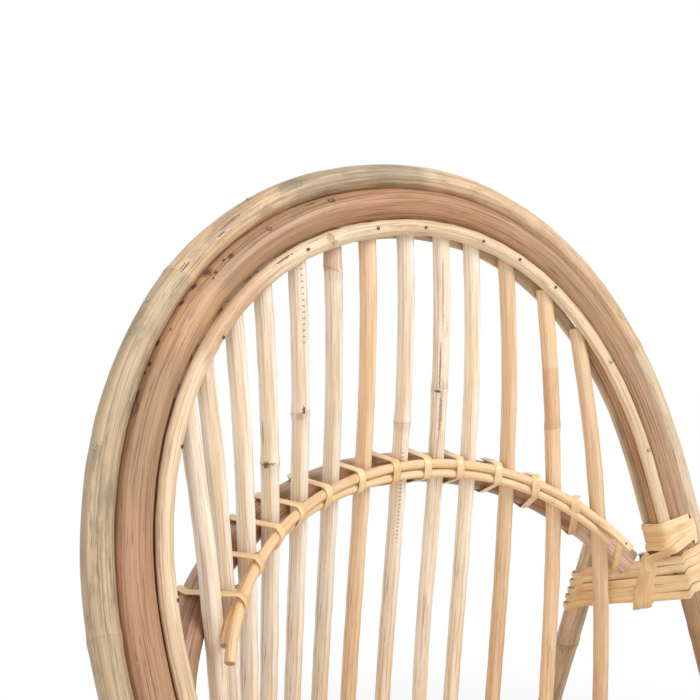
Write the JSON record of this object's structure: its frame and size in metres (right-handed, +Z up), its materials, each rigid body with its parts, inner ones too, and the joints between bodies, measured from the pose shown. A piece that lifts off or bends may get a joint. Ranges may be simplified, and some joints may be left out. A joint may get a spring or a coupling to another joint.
{
  "type": "peacock chair",
  "caption": "Rattan peacock chair: a leaning hoop back of nested poles with a fan of slim spindles, a lashed arch at the small of the back, and a round cane seat on splayed legs.",
  "frame": {"origin": "on the floor, under the middle of the chair's box", "axes": "+Z up, the sitter faces -Y, +X is on the right as seen from the front"},
  "size_m": [0.6782, 0.6156, 1.0402],
  "materials": {
    "skin_rattan": "rattan with its skin on, satin, tan with grey patches",
    "peeled_rattan": "peeled rattan, satin, pinkish brown with dark marks",
    "strip_rattan": "peeled rattan, satin, light tan",
    "spindle_rattan": "peeled rattan, satin, pale cream with streaks and nodes",
    "arch_cane": "thin cane, satin, yellow tan",
    "lashing": "flat rattan peel, half gloss, yellow tan",
    "glide": "moulded, matt, dark brown"
  },
  "bodies": {
    "root": {"hoop_outer_pole": "skin_rattan", "rear_leg_left": "skin_rattan", "rear_leg_right": "skin_rattan", "hoop_inner_pole": "peeled_rattan", "arch_rear_pole": "peeled_rattan", "seat_ring": "peeled_rattan", "seat_bearer_front": "peeled_rattan", "seat_bearer_rear": "peeled_rattan", "seat_front_rail": "peeled_rattan", "seat_rear_rail": "peeled_rattan", "cross_stretcher": "peeled_rattan", "side_stretcher_left": "peeled_rattan", "side_stretcher_right": "peeled_rattan", "front_brace_left": "peeled_rattan", "front_brace_right": "peeled_rattan", "spindle_strip_front": "strip_rattan", "spindle_strip_back": "strip_rattan", "seat_rear_strip": "strip_rattan", "back_spindle_01": "spindle_rattan", "back_spindle_02": "spindle_rattan", "back_spindle_03": "spindle_rattan", "back_spindle_04": "spindle_rattan", "back_spindle_05": "spindle_rattan", "back_spindle_06": "spindle_rattan", "back_spindle_07": "spindle_rattan", "back_spindle_08": "spindle_rattan", "back_spindle_09": "spindle_rattan", "back_spindle_10": "spindle_rattan", "back_spindle_11": "spindle_rattan", "back_spindle_12": "spindle_rattan", "back_spindle_13": "spindle_rattan", "seat_cane_01": "spindle_rattan", "seat_cane_02": "spindle_rattan", "seat_cane_03": "spindle_rattan", "seat_cane_04": "spindle_rattan", "seat_cane_05": "spindle_rattan", "seat_cane_06": "spindle_rattan", "seat_cane_07": "spindle_rattan", "seat_cane_08": "spindle_rattan", "seat_cane_09": "spindle_rattan", "seat_cane_10": "spindle_rattan", "seat_cane_11": "spindle_rattan", "seat_cane_12": "spindle_rattan", "seat_cane_13": "spindle_rattan", "arch_upper_cane": "arch_cane", "arch_lower_cane": "arch_cane", "arch_lashing": "lashing", "hoop_wrap_left": "lashing", "hoop_wrap_right": "lashing", "bridge_lashing_left": "lashing", "bridge_lashing_right": "lashing", "low_wrap_left": "lashing", "low_wrap_right": "lashing", "front_glide_left": "glide", "front_glide_right": "glide", "rear_glide_left": "glide", "rear_glide_right": "glide"}
  },
  "joints": []
}
